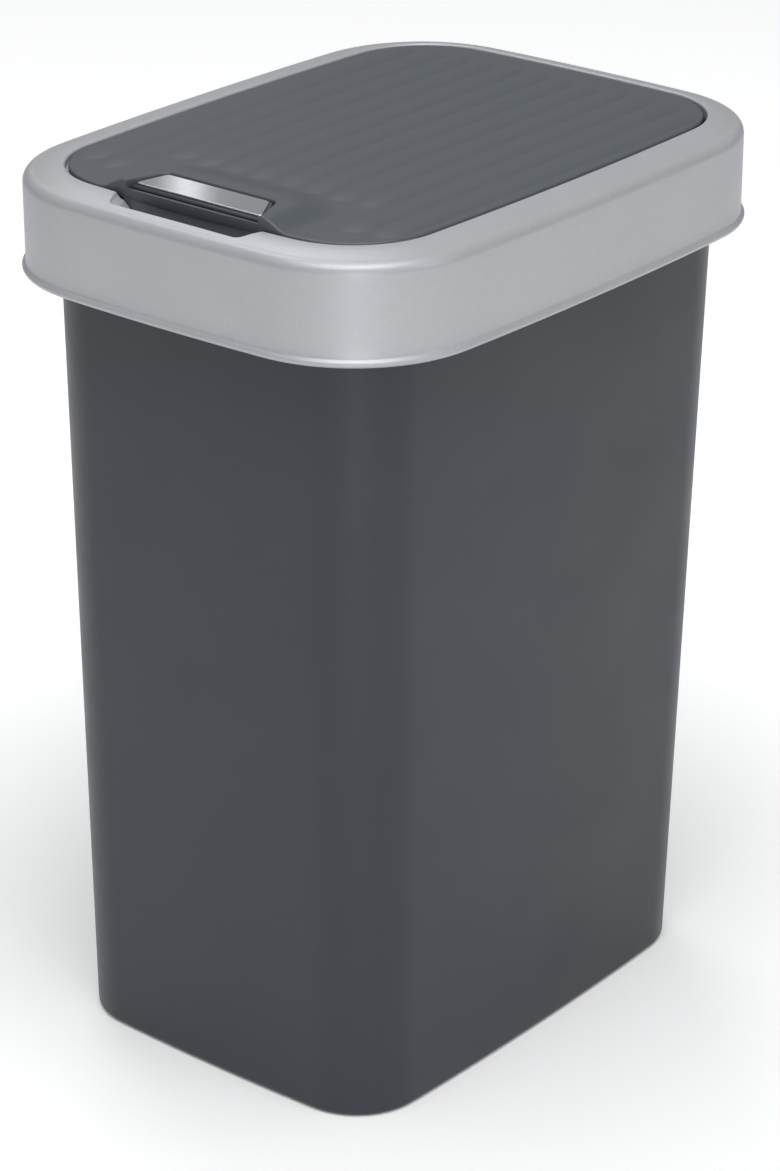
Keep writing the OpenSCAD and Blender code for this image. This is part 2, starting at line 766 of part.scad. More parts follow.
// Compression spring between the well's floor and the button's plate, open coils with a flat turn
// at each end
module button_spring() {
    low = coil_seat_z + coil_wire / 2 + 0.05;
    high = button_z - trim_t - plate_t - 0.1 - coil_wire / 2;
    steps = curl_steps * coil_turns;
    path = concat(
        [[coil_r, coil_y - coil_wire * 1.5, low]],
        [for (i = [0 : steps]) let (a = 360 * i / curl_steps)
            [coil_r * cos(a), coil_y + coil_r * sin(a), low + (high - low) * i / steps]],
        [[coil_r, coil_y + coil_wire * 1.5, high]]);
    echo(button_spring_least_gap = least_gap(path, coil_wire));
    color(steel)
    wire(path, coil_wire, [for (p = path) [0, 0, 1]]);
}

bucket();
lid_frame();
hinge_cradle_left();
hinge_cradle_right();
cradle_screws();
hinge_pin_left();
hinge_pin_right();
hinge_spring_left();
hinge_spring_right();
flap();
release_button();
chrome_trim();
button_pin();
button_spring();
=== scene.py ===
"""Looks of a push top countertop bin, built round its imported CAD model.

Shapes are worked out in millimetres, as in the CAD source, and become metres when a mesh is made.
"""

import math

import bmesh
import bpy
import numpy as np
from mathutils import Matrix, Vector

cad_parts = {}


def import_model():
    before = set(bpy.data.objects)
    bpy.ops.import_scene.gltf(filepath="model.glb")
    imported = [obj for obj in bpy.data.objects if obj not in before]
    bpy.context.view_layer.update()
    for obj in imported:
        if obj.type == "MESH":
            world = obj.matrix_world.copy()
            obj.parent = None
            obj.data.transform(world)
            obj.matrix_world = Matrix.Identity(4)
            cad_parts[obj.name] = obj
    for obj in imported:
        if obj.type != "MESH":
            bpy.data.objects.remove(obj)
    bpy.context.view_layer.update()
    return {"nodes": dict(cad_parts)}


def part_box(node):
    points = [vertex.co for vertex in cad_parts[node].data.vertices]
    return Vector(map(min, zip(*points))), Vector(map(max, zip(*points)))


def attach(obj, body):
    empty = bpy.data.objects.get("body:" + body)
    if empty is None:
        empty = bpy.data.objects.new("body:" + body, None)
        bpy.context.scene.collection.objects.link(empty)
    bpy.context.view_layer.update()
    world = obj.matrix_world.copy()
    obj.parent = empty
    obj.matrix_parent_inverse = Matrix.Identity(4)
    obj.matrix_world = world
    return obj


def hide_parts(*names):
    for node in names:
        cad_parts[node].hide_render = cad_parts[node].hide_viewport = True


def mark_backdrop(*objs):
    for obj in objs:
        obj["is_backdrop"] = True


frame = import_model()
MM = 0.001


def cad(node):
    """Lowest and highest corner of a CAD node, in millimetres."""
    low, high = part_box(node)
    return np.array(low) / MM, np.array(high) / MM


# Driving sizes, in millimetres. Those that a node's box shows are read from it.
bucket_box, lid_box = cad("bucket"), cad("lid_frame")
BUCKET_H, TOP_Z, SKIRT_Z = bucket_box[1][2], lid_box[1][2], lid_box[0][2]
BASE_W, BASE_D, BASE_R, LEAN, REAR_LEAN, BASE_SHIFT = 149.5, 200, 27, 3.2, 13.2, 2.9
WALL, FLOOR_T, FOOT_H, RIM_SIDE, RIM_END, RIM_LIP_H, RIM_T, LIP_T = 2, 2.5, 3, 12, 8.9, 8, 2, 1.6
SKIRT_GAP, SHELL_T, SKIRT_R, BEAD = 0.8, 2.2, 48.4, 1.3
BAND_SIDE, BAND_FRONT, BAND_REAR, BAND_FALL, SHOULDER_R = 15, 14.7, 12, 3.4, 4
PANEL_T, FLAP_GAP, REAR_GAP, HINGE_BACK = 2.2, 1.2, 1.6, 36
RIDGE_COUNT, RIDGE_H, RIDGE_BORDER, HOOD_H = 12, 0.8, 4.6, 4.2
TRIM_W, TRIM_BACK_W, TRIM_D, TRIM_T = 56, 45, 10.5, 0.8
EAR_T, SIDE_GAP, KNUCKLE_T = 3, 0.3, 4
LONG_BOW, SHORT_BOW = 1.6, 1

# How finely the outlines are drawn
SIDE_N, CORNER_N = 14, 26


def grow(o, g):
    return (o[0] + 2 * g, o[1] + 2 * g, o[2] + g, o[3], o[4])


def mix(a, b, f):
    return tuple(p * (1 - f) + q * f for p, q in zip(a, b))


# Outlines are (width, depth, corner radius, bow of the long sides, bow of the short sides)
base_o = (BASE_W, BASE_D, BASE_R, LONG_BOW, SHORT_BOW)
rim_wall_o = (BASE_W + 2 * LEAN, BASE_D + LEAN + REAR_LEAN, BASE_R + LEAN / 3, LONG_BOW, SHORT_BOW)
rim_shift = (REAR_LEAN - LEAN) / 2 - BASE_SHIFT
skirt_o = (rim_wall_o[0] + 2 * (RIM_SIDE + SKIRT_GAP + SHELL_T),
           rim_wall_o[1] + 2 * (RIM_END + SKIRT_GAP + SHELL_T), SKIRT_R, LONG_BOW, SHORT_BOW)
rim_o = grow(skirt_o, -SHELL_T - SKIRT_GAP)
opening_o = (skirt_o[0] - 2 * BAND_SIDE, skirt_o[1] - BAND_FRONT - BAND_REAR,
             SKIRT_R - BAND_SIDE, LONG_BOW, SHORT_BOW)
opening_shift = (BAND_FRONT - BAND_REAR) / 2
flap_o = (opening_o[0] - 2 * FLAP_GAP, opening_o[1] - FLAP_GAP - REAR_GAP,
          opening_o[2] - FLAP_GAP, LONG_BOW, SHORT_BOW)
flap_shift = opening_shift + (FLAP_GAP - REAR_GAP) / 2
FRONT_Y, REAR_Y = flap_shift - flap_o[1] / 2, flap_shift + flap_o[1] / 2
AXIS_Y, AXIS_Z = REAR_Y - HINGE_BACK, TOP_Z - 5.5
UNDER_Z = TOP_Z - PANEL_T
FLANGE_Z, FLANGE_T = BUCKET_H + 0.3, 2
LEDGE_Z, LEDGE_T, LEDGE_IN = UNDER_Z - 0.3, 2, 3
NOTCH_BACK, NOTCH_FRONT, NOTCH_REACH, NOTCH_R, NOTCH_DRAFT, NOTCH_H = 32.3, 28.5, 8.6, 3.5, 6, 9
KEEPER_HALF, KEEPER_T = 12, 2
KEEPER_Z, KEEPER_EDGE = FLANGE_Z + 4, FRONT_Y + 4.6
TRIM_FRONT_Y = FRONT_Y + 3.7
TRIM_REAR_Y = TRIM_FRONT_Y + TRIM_D
BUTTON_MARGIN, BUTTON_TILT, PLATE_T, CATCH = 1.1, 7, 1, 1
BUTTON_Z, PIVOT_Y, PIVOT_Z = TOP_Z + 3, FRONT_Y + 19.6, TOP_Z - 0.6
FRONT_WALL_Z, MOUTH_FLOOR_Z = TOP_Z + 1.4, TOP_Z - 1.1
WELL_HALF, WELL_FRONT, WELL_REAR = 23, FRONT_Y + 1.3, PIVOT_Y + 3.6
BOSS_R = 2.3
ROOF_Z = PIVOT_Z + BOSS_R + 0.4


# Geometry helpers


def quarter(o, side_n=SIDE_N, corner_n=CORNER_N):
    """The bowed side, the corner arc and the bowed end of one quarter of an outline."""
    w, d, r, bx, by = o
    hx, hy = w / 2 - bx - r, d / 2 - by - r
    ax, ay = math.atan(2 * bx / hy), math.atan(2 * by / hx)
    ly, lx = hy + r * math.sin(ax), hx + r * math.sin(ay)
    side = [(w / 2 - bx * t * t, t * ly) for t in np.arange(side_n) / side_n]
    angles = ax + (math.pi / 2 - ax - ay) * np.arange(corner_n + 1) / corner_n
    corner = [(hx + r * math.cos(a), hy + r * math.sin(a)) for a in angles]
    end = [(t * lx, d / 2 - by * t * t) for t in np.arange(side_n - 1, -1, -1) / side_n]
    return np.array(side), np.array(corner), np.array(end)


def loop(o, shift=0.0, front=None):
    """A whole outline from the middle of the right side, by way of the rear. front, if given, holds
    the points of the front side from left to right, corner ends included."""
    side, corner, end = quarter(o)
    mirror_x, mirror_y = np.array([-1, 1]), np.array([1, -1])
    q = np.concatenate([side, corner, end])
    left = (q * mirror_x)[::-1][1:]
    if front is None:
        half = np.concatenate([corner[-1:], end])
        front = np.concatenate([-half, (half * mirror_y)[::-1][1:]])
    else:
        front = np.asarray(front) - [0, shift]
    near = np.concatenate([-side[1:], -corner[:-1]])
    back = (np.concatenate([side[1:], corner[:-1]]) * mirror_y)[::-1]
    return np.concatenate([q, left, near, front, back]) + [0, shift]


def ring(o, z, shift=0.0):
    p = loop(o, shift)
    return np.column_stack([p, np.full(len(p), float(z))])


def arc(cx, cy, r, a0, a1, n):
    """Points of an arc, angles in degrees."""
    a = np.radians(np.linspace(a0, a1, n + 1))
    return np.column_stack([cx + r * np.cos(a), cy + r * np.sin(a)])


def rounded(points, radii, n, fill):
    """A polyline whose inner corners are rounded, with a fixed number of points for each stretch."""
    points = [np.array(p, float) for p in points]
    out, last = [], points[0]
    for i in range(1, len(points) - 1):
        a, p, b = points[i - 1], points[i], points[i + 1]
        u, v = (a - p) / np.linalg.norm(a - p), (b - p) / np.linalg.norm(b - p)
        half = math.acos(max(-1, min(1, float(u @ v)))) / 2
        cut = radii[i] / math.tan(half)
        start, stop = p + u * cut, p + v * cut
        centre = p + (u + v) / np.linalg.norm(u + v) * radii[i] / math.sin(half)
        a0 = math.atan2(*(start - centre)[::-1])
        turn = (math.atan2(*(stop - centre)[::-1]) - a0 + math.pi) % (2 * math.pi) - math.pi
        out += [last + (start - last) * k / fill for k in range(fill)]
        out += [centre + radii[i] * np.array([math.cos(a0 + turn * k / n), math.sin(a0 + turn * k / n)])
                for k in range(n)]
        last = stop
    out += [last + (points[-1] - last) * k / fill for k in range(fill + 1)]
    return np.array(out)


def skin(rings, closed=False, wrap=True):
    """Vertices and quads through rings of equal length. closed joins the last ring to the first."""
    n, m = len(rings[0]), len(rings)
    verts = np.concatenate(rings)
    faces = []
    for i in range(m if closed else m - 1):
        k = (i + 1) % m
        for j in range(n if wrap else n - 1):
            l = (j + 1) % n
            faces.append((i * n + j, i * n + l, k * n + l, k * n + j))
    if not closed:
        faces.append(tuple(range(n))[::-1])
        faces.append(tuple(range((m - 1) * n, m * n)))
    return verts, faces


def join(*parts):
    """Several (vertices, faces) as one."""
    verts, faces, start = [], [], 0
    for v, f in parts:
        verts.append(np.asarray(v, float))
        faces += [tuple(i + start for i in face) for face in f]
        start += len(v)
    return np.concatenate(verts), faces


def prism(plan, axis, low, high):
    """A plan pushed along axis 'x' or 'z'. For 'x' the plan's points are (y, z)."""
    plan = np.asarray(plan, float)

    def level(at):
        column = np.full((len(plan), 1), float(at))
        return np.hstack([column, plan] if axis == "x" else [plan, column])

    return skin([level(low), level(high)])


def box(low, high):
    (x0, y0, z0), (x1, y1, z1) = low, high
    return prism([(x0, y0), (x1, y0), (x1, y1), (x0, y1)], "z", z0, z1)


def tube(path, radius, up, sides=14):
    """A round wire along a path, with flat ends."""
    path = np.asarray(path, float)
    t = np.gradient(path, axis=0)
    t /= np.linalg.norm(t, axis=1)[:, None]
    a = np.cross(t, up)
    a /= np.linalg.norm(a, axis=1)[:, None]
    b = np.cross(a, t)
    q = 2 * math.pi * np.arange(sides) / sides
    return skin([p + radius * (np.cos(q)[:, None] * u + np.sin(q)[:, None] * v)
                 for p, u, v in zip(path, a, b)])


def tidy_mesh(mesh, sharp=34):
    """Normals outwards, smooth shading apart from flat ends, and creases where faces meet at more than
    the angle."""
    bm = bmesh.new()
    bm.from_mesh(mesh)
    bmesh.ops.remove_doubles(bm, verts=bm.verts, dist=1e-7)
    bmesh.ops.recalc_face_normals(bm, faces=bm.faces)
    limit = math.radians(sharp)
    for e in bm.edges:
        e.smooth = len(e.link_faces) == 2 and e.calc_face_angle(0) < limit
    for f in bm.faces:
        f.smooth = len(f.verts) <= 4
    bm.to_mesh(mesh)
    bm.free()


def apply_modifiers(obj):
    graph = bpy.context.evaluated_depsgraph_get()
    mesh = bpy.data.meshes.new_from_object(obj.evaluated_get(graph))
    obj.modifiers.clear()
    obj.data = mesh


def make(name, part, bevel=0.0, sharp=34):
    """A mesh object from vertices in millimetres and faces, with its edges rounded by bevel."""
    verts, faces = part
    mesh = bpy.data.meshes.new(name)
    mesh.from_pydata((np.asarray(verts) * MM).tolist(), [], [tuple(map(int, f)) for f in faces])
    mesh.validate()
    obj = bpy.data.objects.new(name, mesh)
    bpy.context.scene.collection.objects.link(obj)
    tidy_mesh(mesh, sharp)
    if bevel:
        m = obj.modifiers.new("edge", "BEVEL")
        m.width, m.segments, m.limit_method = bevel * MM, 3, "ANGLE"
        m.angle_limit = math.radians(30)
        m.harden_normals = False
        apply_modifiers(obj)
        tidy_mesh(obj.data, sharp)
    return obj


def cut(obj, cutter_part):
    """Takes a solid out of an object."""
    cutter = make("cutter", cutter_part)
    m = obj.modifiers.new("cut", "BOOLEAN")
    m.operation, m.solver, m.object = "DIFFERENCE", "EXACT", cutter
    bpy.context.view_layer.update()
    apply_modifiers(obj)
    bpy.data.objects.remove(cutter)


def settle(obj, body, slot, material, *nodes):
    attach(obj, body)
    obj.data.materials.clear()
    obj.data.materials.append(material)
    if nodes:
        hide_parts(*nodes)
    return obj


# Materials


class Shader:
    """A node material: principled shader with helpers that add and link nodes."""

    def __init__(self, name, color, roughness, metallic=0.0, **inputs):
        self.material = bpy.data.materials.new(name)
        self.material.use_nodes = True
        self.tree = self.material.node_tree
        self.shader = self.tree.nodes["Principled BSDF"]
        self.shader.inputs["Base Color"].default_value = (*color, 1)
        self.shader.inputs["Roughness"].default_value = roughness
        self.shader.inputs["Metallic"].default_value = metallic
        for key, value in inputs.items():
            self.shader.inputs[key.replace("_", " ")].default_value = value
        self.coords = self.add("ShaderNodeTexCoord").outputs["Object"]

    def add(self, kind, **values):
        node = self.tree.nodes.new(kind)
        for key, value in values.items():
            if key in node.bl_rna.properties:
                setattr(node, key, value)
            else:
                node.inputs[key].default_value = value
        return node

    def link(self, a, b):
        self.tree.links.new(a, b)

    def noise(self, scale, detail=2.0, rough=0.5, stretch=None):
        n = self.add("ShaderNodeTexNoise", Scale=scale, Detail=detail, Roughness=rough)
        source = self.coords
        if stretch:
            m = self.add("ShaderNodeMapping", Scale=stretch)
            self.link(source, m.inputs["Vector"])
            source = m.outputs["Vector"]
        self.link(source, n.inputs["Vector"])
        return n.outputs["Fac"]

    def spread(self, value, low, high, start=0.3, stop=0.7):
        n = self.add("ShaderNodeMapRange", **{"From Min": start, "From Max": stop, "To Min": low,
                                              "To Max": high})
        self.link(value, n.inputs["Value"])
        return n.outputs["Result"]

    def edges(self, start=0.52, stop=0.6):
        """1 along outer edges and 0 elsewhere."""
        g = self.add("ShaderNodeNewGeometry")
        return self.spread(g.outputs["Pointiness"], 0, 1, start, stop)

    def blend(self, a, b, factor):
        n = self.add("ShaderNodeMix", data_type="RGBA")
        for socket, value in ((n.inputs[6], a), (n.inputs[7], b)):
            if isinstance(value, tuple):
                socket.default_value = (*value, 1)
            else:
                self.link(value, socket)
        self.link(factor, n.inputs[0])
        return n.outputs[2]

    def times(self, a, b):
        n = self.add("ShaderNodeMath", operation="MULTIPLY")
        self.link(a, n.inputs[0])
        if isinstance(b, float):
            n.inputs[1].default_value = b
        else:
            self.link(b, n.inputs[1])
        return n.outputs[0]

    def bump(self, height, distance, strength=1.0, under=None):
        n = self.add("ShaderNodeBump", Strength=strength, Distance=distance)
        self.link(height, n.inputs["Height"])
        if under:
            self.link(under, n.inputs["Normal"])
        return n.outputs["Normal"]

    def done(self, color=None, roughness=None, normal=None):
        for key, value in (("Base Color", color), ("Roughness", roughness), ("Normal", normal)):
            if value is not None:
                self.link(value, self.shader.inputs[key])
        return self.material


def tint(color, factor):
    return tuple(c * factor for c in color)


def moulded_plastic(name, color, roughness, grain, wear, flake=0.0, metallic=0.0, gloss=0.5):
    """Moulded plastic: slow shifts of tone, fine grain, polished and lightened edges."""
    s = Shader(name, color, roughness, metallic, Specular_IOR_Level=gloss, IOR=1.5)
    broad = s.blend(tint(color, 0.965), tint(color, 1.035), s.noise(9, 3))
    fine = s.spread(s.noise(900, 2), 0, 1, 0.42, 0.62)
    tone = s.blend(broad, tint(color, 1.06), s.times(fine, 0.35 + flake))
    edge = s.times(s.edges(), s.spread(s.noise(160, 4), 0.2, 1))
    tone = s.blend(tone, wear, s.times(edge, 0.35))
    rough = s.add("ShaderNodeMath", operation="SUBTRACT")
    s.link(s.spread(s.noise(30, 4), roughness - 0.035, roughness + 0.035), rough.inputs[0])
    s.link(s.times(edge, 0.1), rough.inputs[1])
    flow = s.bump(s.noise(14, 2), 0.0004, 0.25)
    return s.done(tone, rough.outputs[0], s.bump(s.noise(grain, 3, 0.6), 0.00004, 0.5, flow))


def polished_metal(name, color, roughness, brushed=None, crown=0.0):
    """Bright metal with fine scratches. crown lowers it towards both sides, by that share of x squared."""
    s = Shader(name, color, roughness, 1.0)
    scratches = s.noise(240, 5, 0.6, brushed)
    tone = s.blend(tint(color, 0.94), tint(color, 1.0), s.noise(40, 3))
    rough = s.spread(scratches, roughness * 0.7, roughness * 1.4)
    under = None
    if crown:
        split = s.add("ShaderNodeSeparateXYZ")
        s.link(s.coords, split.inputs[0])
        under = s.bump(s.times(s.times(split.outputs["X"], split.outputs["X"]), -crown), 1.0)
    return s.done(tone, rough, s.bump(scratches, 0.00001, 0.08, under=under))


dark_plastic = moulded_plastic("dark_plastic", (0.0315, 0.0370, 0.0455), 0.42, 1500, (0.065, 0.072, 0.08),
                               gloss=0.36)
flap_plastic = moulded_plastic("flap_plastic", (0.066, 0.0745, 0.084), 0.42, 1500, (0.12, 0.13, 0.145))
silver_plastic = moulded_plastic("silver_plastic", (0.42, 0.424, 0.445), 0.42, 900, (0.50, 0.505, 0.52),
                                 flake=0.3, metallic=0.35)
chrome = polished_metal("chrome", (0.76, 0.77, 0.78), 0.045, crown=0.19)
steel = polished_metal("steel", (0.56, 0.56, 0.57), 0.28, (1, 12, 12))


# Bucket: foot ring, wall, rim with its turned-down lip, and the inside


def wall_ring(z, g=0.0, at=None):
    """A ring of the bucket's wall at height z, grown by g. It takes the outline of height at, if given."""
    t = (z if at is None else at) / BUCKET_H
    return ring(grow(mix(base_o, rim_wall_o, t), g), z, rim_shift * t - BASE_SHIFT * (1 - t))


def foot_ring(g, z):
    return ring(grow(base_o, g), z, -BASE_SHIFT)


def bucket():
    edge_r, foot_w, fillet, inner_r = 2.5, 3.4, 3.0, 4.0
    inner, under = FOOT_H + FLOOR_T, BUCKET_H - RIM_T
    rings = [foot_ring(-foot_w - 1.2, FOOT_H), foot_ring(-foot_w - 0.2, FOOT_H - 0.3),
             foot_ring(-foot_w, FOOT_H - 0.8), foot_ring(-foot_w, 0.3), foot_ring(-foot_w + 0.3, 0)]
    rings += [wall_ring(edge_r * (1 + math.sin(a)), edge_r * (math.cos(a) - 1))
              for a in np.radians(np.linspace(-90, 0, 8))]
    rings += [wall_ring(z) for z in np.linspace(20, under - fillet, 14)]
    rings += [wall_ring(under - fillet * (1 - math.sin(a)), fillet * (1 - math.cos(a)))
              for a in np.radians([20, 40, 60, 80])]
    lip_in, low = grow(rim_o, -LIP_T), BUCKET_H - RIM_LIP_H
    rings += [ring(grow(lip_in, -0.5), under - 0.05), ring(lip_in, under - 0.5), ring(lip_in, low + 0.3),
              ring(grow(lip_in, 0.3), low), ring(grow(rim_o, -0.4), low), ring(rim_o, low + 0.4)]
    turn = np.radians(np.linspace(0, 90, 6))
    rings += [ring(grow(rim_o, math.cos(a) - 1), BUCKET_H - 1 + math.sin(a)) for a in turn]
    rings += [wall_ring(BUCKET_H - 1 + math.cos(a), 1 - WALL - math.sin(a), BUCKET_H) for a in turn]
    rings += [wall_ring(z, -WALL) for z in np.linspace(BUCKET_H - 6, inner + inner_r, 10)]
    rings += [wall_ring(inner + inner_r * (1 - math.sin(a)), -WALL - inner_r * (1 - math.cos(a)), inner + inner_r)
              for a in np.radians([18, 36, 54, 72, 90])]
    return skin(rings)


bucket_piece = make("bucket_shell", bucket())
settle(bucket_piece, "bucket", "dark_plastic", dark_plastic, "bucket")


# Lid frame: the hoop's section runs round the opening, whose front side has the notch


NOTCH_FALL = (NOTCH_BACK - NOTCH_FRONT) / (FLAP_GAP + NOTCH_REACH)
open_corner_end = quarter(opening_o)[1][-1]
OPEN_LX = open_corner_end[0]


def front_edge(o, shift, x):
    """Where an outline's front side lies at x."""
    lx = quarter(o)[1][-1][0]
    return shift - o[1] / 2 + o[4] * np.minimum(np.abs(x) / lx, 1.2) ** 2


def notch_path(g, depth=0.0):
    """The front side of the opening from left to right, with the notch, grown by g and taken at a
    depth below the top."""
    t = min(1.0, depth / NOTCH_H)
    q = grow(opening_o, g)
    lx, ly = quarter(q)[1][-1]
    back_y = front_edge(q, opening_shift, np.float64(NOTCH_BACK))
    half_back = NOTCH_BACK + g - NOTCH_DRAFT * t - NOTCH_FALL * g
    half_front = NOTCH_FRONT + g - NOTCH_DRAFT * t
    front_y = FRONT_Y - NOTCH_REACH - g + 1.2 * t
    right = [(lx, opening_shift - ly), (half_back, back_y), (half_front, front_y)]
    points = [(-x, y) for x, y in right] + right[::-1]
    soft = 0.8
    return rounded(points, [0, soft, NOTCH_R + g, NOTCH_R + g, soft, 0], 7, 4)


def front_shares():
    """Where each point of the front side lies between its corner ends, -1 to 1, in every other ring."""
    path = notch_path(0.0)
    steps = np.concatenate([[0], np.cumsum(np.linalg.norm(np.diff(path, axis=0), axis=1))])
    along = 2 * steps / steps[-1] - 1
    return 0.6 * path[:, 0] / OPEN_LX + 0.4 * along


FRONT_U = front_shares()


def plain_front(o, shift):
    lx = quarter(o)[1][-1][0]
    return np.column_stack([FRONT_U * lx, shift - o[1] / 2 + o[4] * FRONT_U ** 2])


def lid_ring(o, z, shift=0.0, front=None):
    p = loop(o, shift, plain_front(o, shift) if front is None else front)
    return np.column_stack([p, np.broadcast_to(z, len(p))])


def front_slice():
    """Where the front side's points lie in a ring."""
    start = len(np.concatenate(quarter(opening_o))) * 2 - 1 + SIDE_N - 1 + CORNER_N
    return slice(start, start + len(FRONT_U))


FRONT_SLICE = front_slice()


def band_share(points):
    """How far across the top band points near the front lie, 0 at the opening and 1 at the skirt."""
    x, y = points[:, 0], points[:, 1]
    a, b = front_edge(opening_o, opening_shift, x), front_edge(skirt_o, 0, x)
    return (a - y) / (a - b)


def band_ring(u, shoulder_f, edge_g):
    """A ring of the top band, u from 0 at the opening's rounded edge to 1 at the shoulder."""
    f0 = edge_g / BAND_SIDE
    f = f0 + (shoulder_f - f0) * u
    o, shift = mix(opening_o, skirt_o, f), opening_shift * (1 - f)
    inner = notch_path(edge_g)
    outer = plain_front(mix(opening_o, skirt_o, shoulder_f), opening_shift * (1 - shoulder_f))
    front = inner * (1 - u) + outer * u
    p = loop(o, shift, front)
    share = np.full(len(p), f)
    share[FRONT_SLICE] = np.maximum(band_share(front), 0)
    return np.column_stack([p, TOP_Z - BAND_FALL * share ** 2])


def lid_frame():
    edge_r = 0.8
    shoulder_f = 1 - SHOULDER_R / BAND_SIDE
    shoulder_z = TOP_Z - BAND_FALL * shoulder_f ** 2 - SHOULDER_R
    fade = (AXIS_Y - 22, AXIS_Y - 14)

    def inner_ring(g, z, depth, ledge=0.0):
        o = grow(opening_o, g)
        p = lid_ring(o, z, opening_shift, notch_path(g, depth))
        if ledge:
            q = lid_ring(grow(o, -ledge), z, opening_shift, notch_path(g, depth))
            w = np.clip((fade[1] - p[:, 1]) / (fade[1] - fade[0]), 0.03, 1)[:, None]
            p = p * (1 - w) + q * w
        return p

    # The rounded edge follows the height of the band beside it
    top = band_ring(0, shoulder_f, edge_r)[:, 2]
    rings = [inner_ring(edge_r * (1 - math.sin(a)), top - edge_r * (1 - math.cos(a)), 0)
             for a in np.radians(np.linspace(90, 15, 6))]
    rings += [band_ring(u, shoulder_f, edge_r) for u in (0, 0.08, 0.2, 0.35, 0.5, 0.65, 0.8, 0.9)]
    for a in np.radians(np.linspace(0, 90, 12)):
        f = shoulder_f + (1 - shoulder_f) * math.sin(a)
        rings.append(lid_ring(mix(opening_o, skirt_o, f), shoulder_z + SHOULDER_R * math.cos(a),
                              opening_shift * (1 - f)))
    rings += [lid_ring(skirt_o, z) for z in np.linspace(shoulder_z - 3, SKIRT_Z + BEAD * 2.6, 7)]
    for t in np.linspace(0, 1, 9)[1:]:
        swell = BEAD * (1 - math.cos(math.pi * t)) / 2
        rings.append(lid_ring(grow(skirt_o, swell), SKIRT_Z + BEAD * (2.6 - 1.5 * t)))
    for a in np.radians([20, 45, 70, 90]):
        rings.append(lid_ring(grow(skirt_o, BEAD * math.cos(a)), SKIRT_Z + BEAD * 1.1 * (1 - math.sin(a))))
    inside = grow(skirt_o, -SHELL_T)
    rings += [lid_ring(inside, SKIRT_Z), lid_ring(inside, SKIRT_Z + 4), lid_ring(inside, shoulder_z - 2)]
    for f in (0.93, 0.82, 0.7):
        rings.append(lid_ring(mix(opening_o, skirt_o, f), TOP_Z - BAND_FALL * f * f - SHELL_T - 1.2 * (f > 0.9),
                              opening_shift * (1 - f)))
    collar = 2
    turned = collar + 0.6
    rings.append(lid_ring(grow(opening_o, turned), TOP_Z - SHELL_T - 1.4, opening_shift, notch_path(turned)))
    rings.append(inner_ring(collar, TOP_Z - SHELL_T - 2.4, 3))
    rings.append(inner_ring(collar, FLANGE_Z + FLANGE_T, NOTCH_H))
    flange = grow(rim_o, -1)
    rings += [lid_ring(flange, FLANGE_Z + FLANGE_T), lid_ring(flange, FLANGE_Z)]
    rings.append(inner_ring(0, FLANGE_Z, NOTCH_H))
    rings.append(inner_ring(0, LEDGE_Z - LEDGE_T, NOTCH_H * 0.9))
    rings.append(inner_ring(0, LEDGE_Z - LEDGE_T, NOTCH_H * 0.9 - 0.01, LEDGE_IN))
    rings.append(inner_ring(0, LEDGE_Z, 4.6, LEDGE_IN))
    rings.append(inner_ring(0, LEDGE_Z, 4.5))
    rings.append(inner_ring(0, TOP_Z - 2, 2))
    return skin(rings, closed=True)


def lid_fittings():
    """The hinge shelves and the keeper."""
    shelf_in, shelf_front, shelf_depth = cad("hinge_cradle_right")[0][0] - 2, AXIS_Y - 6, 8.4
    high = opening_o[0] / 2 + 1
    parts = [box((s * shelf_in if s > 0 else -high, shelf_front, FLANGE_Z),
                 (high if s > 0 else -shelf_in, shelf_front + shelf_depth, FLANGE_Z + FLANGE_T)) for s in (-1, 1)]
    front = FRONT_Y - NOTCH_REACH - 1
    parts.append(box((-KEEPER_HALF, front, KEEPER_Z), (KEEPER_HALF, KEEPER_EDGE, KEEPER_Z + KEEPER_T)))
    return join(*parts)


lid_piece = make("lid_frame_shell", lid_frame())
settle(lid_piece, "lid", "silver_plastic", silver_plastic, "lid_frame")
fittings = make("lid_fittings", lid_fittings(), bevel=0.3)
settle(fittings, "lid", "silver_plastic", silver_plastic)


# Flap: the top is a height field on a grid that follows the outline at its edge


RIDGE_PITCH = (flap_o[0] - 2 * RIDGE_BORDER) / RIDGE_COUNT
HOOD_TOP_HALF, HOOD_FOOT_HALF, HOOD_TOP_R, HOOD_FOOT_R, HOOD_LEN, HOOD_TAIL = 30, 42, 6, 24, 20, 20


def ridge_height(x, y):
    """Arched ridges that narrow and fade towards both ends."""
    index = np.clip(np.round(x / RIDGE_PITCH + (RIDGE_COUNT - 1) / 2), 0, RIDGE_COUNT - 1)
    cx = (index - (RIDGE_COUNT - 1) / 2) * RIDGE_PITCH
    over = np.clip(np.abs(cx) - (flap_o[0] / 2 - flap_o[2]), 0, flap_o[2]) / flap_o[2]
    ease = flap_o[2] * (1 - np.sqrt(np.maximum(0, 1 - over ** 2))) * 0.8
    behind_hood, beside_hood = FRONT_Y + HOOD_LEN + HOOD_TAIL - 2, FRONT_Y + 15
    start = np.where(np.abs(cx) < HOOD_FOOT_HALF + 2, behind_hood, beside_hood) + ease * 0.4
    stop = REAR_Y - 9 - ease
    tip = 12.0
    near = np.clip(np.minimum(y - start, stop - y) / tip, 0, 1)
    share = 1 - (1 - near) ** 2
    u = np.clip(np.abs(x - cx) / (RIDGE_PITCH / 2 * np.sqrt(np.maximum(share, 1e-4))), 0, 1)
    return RIDGE_H * share * (1 - u ** 2.4)


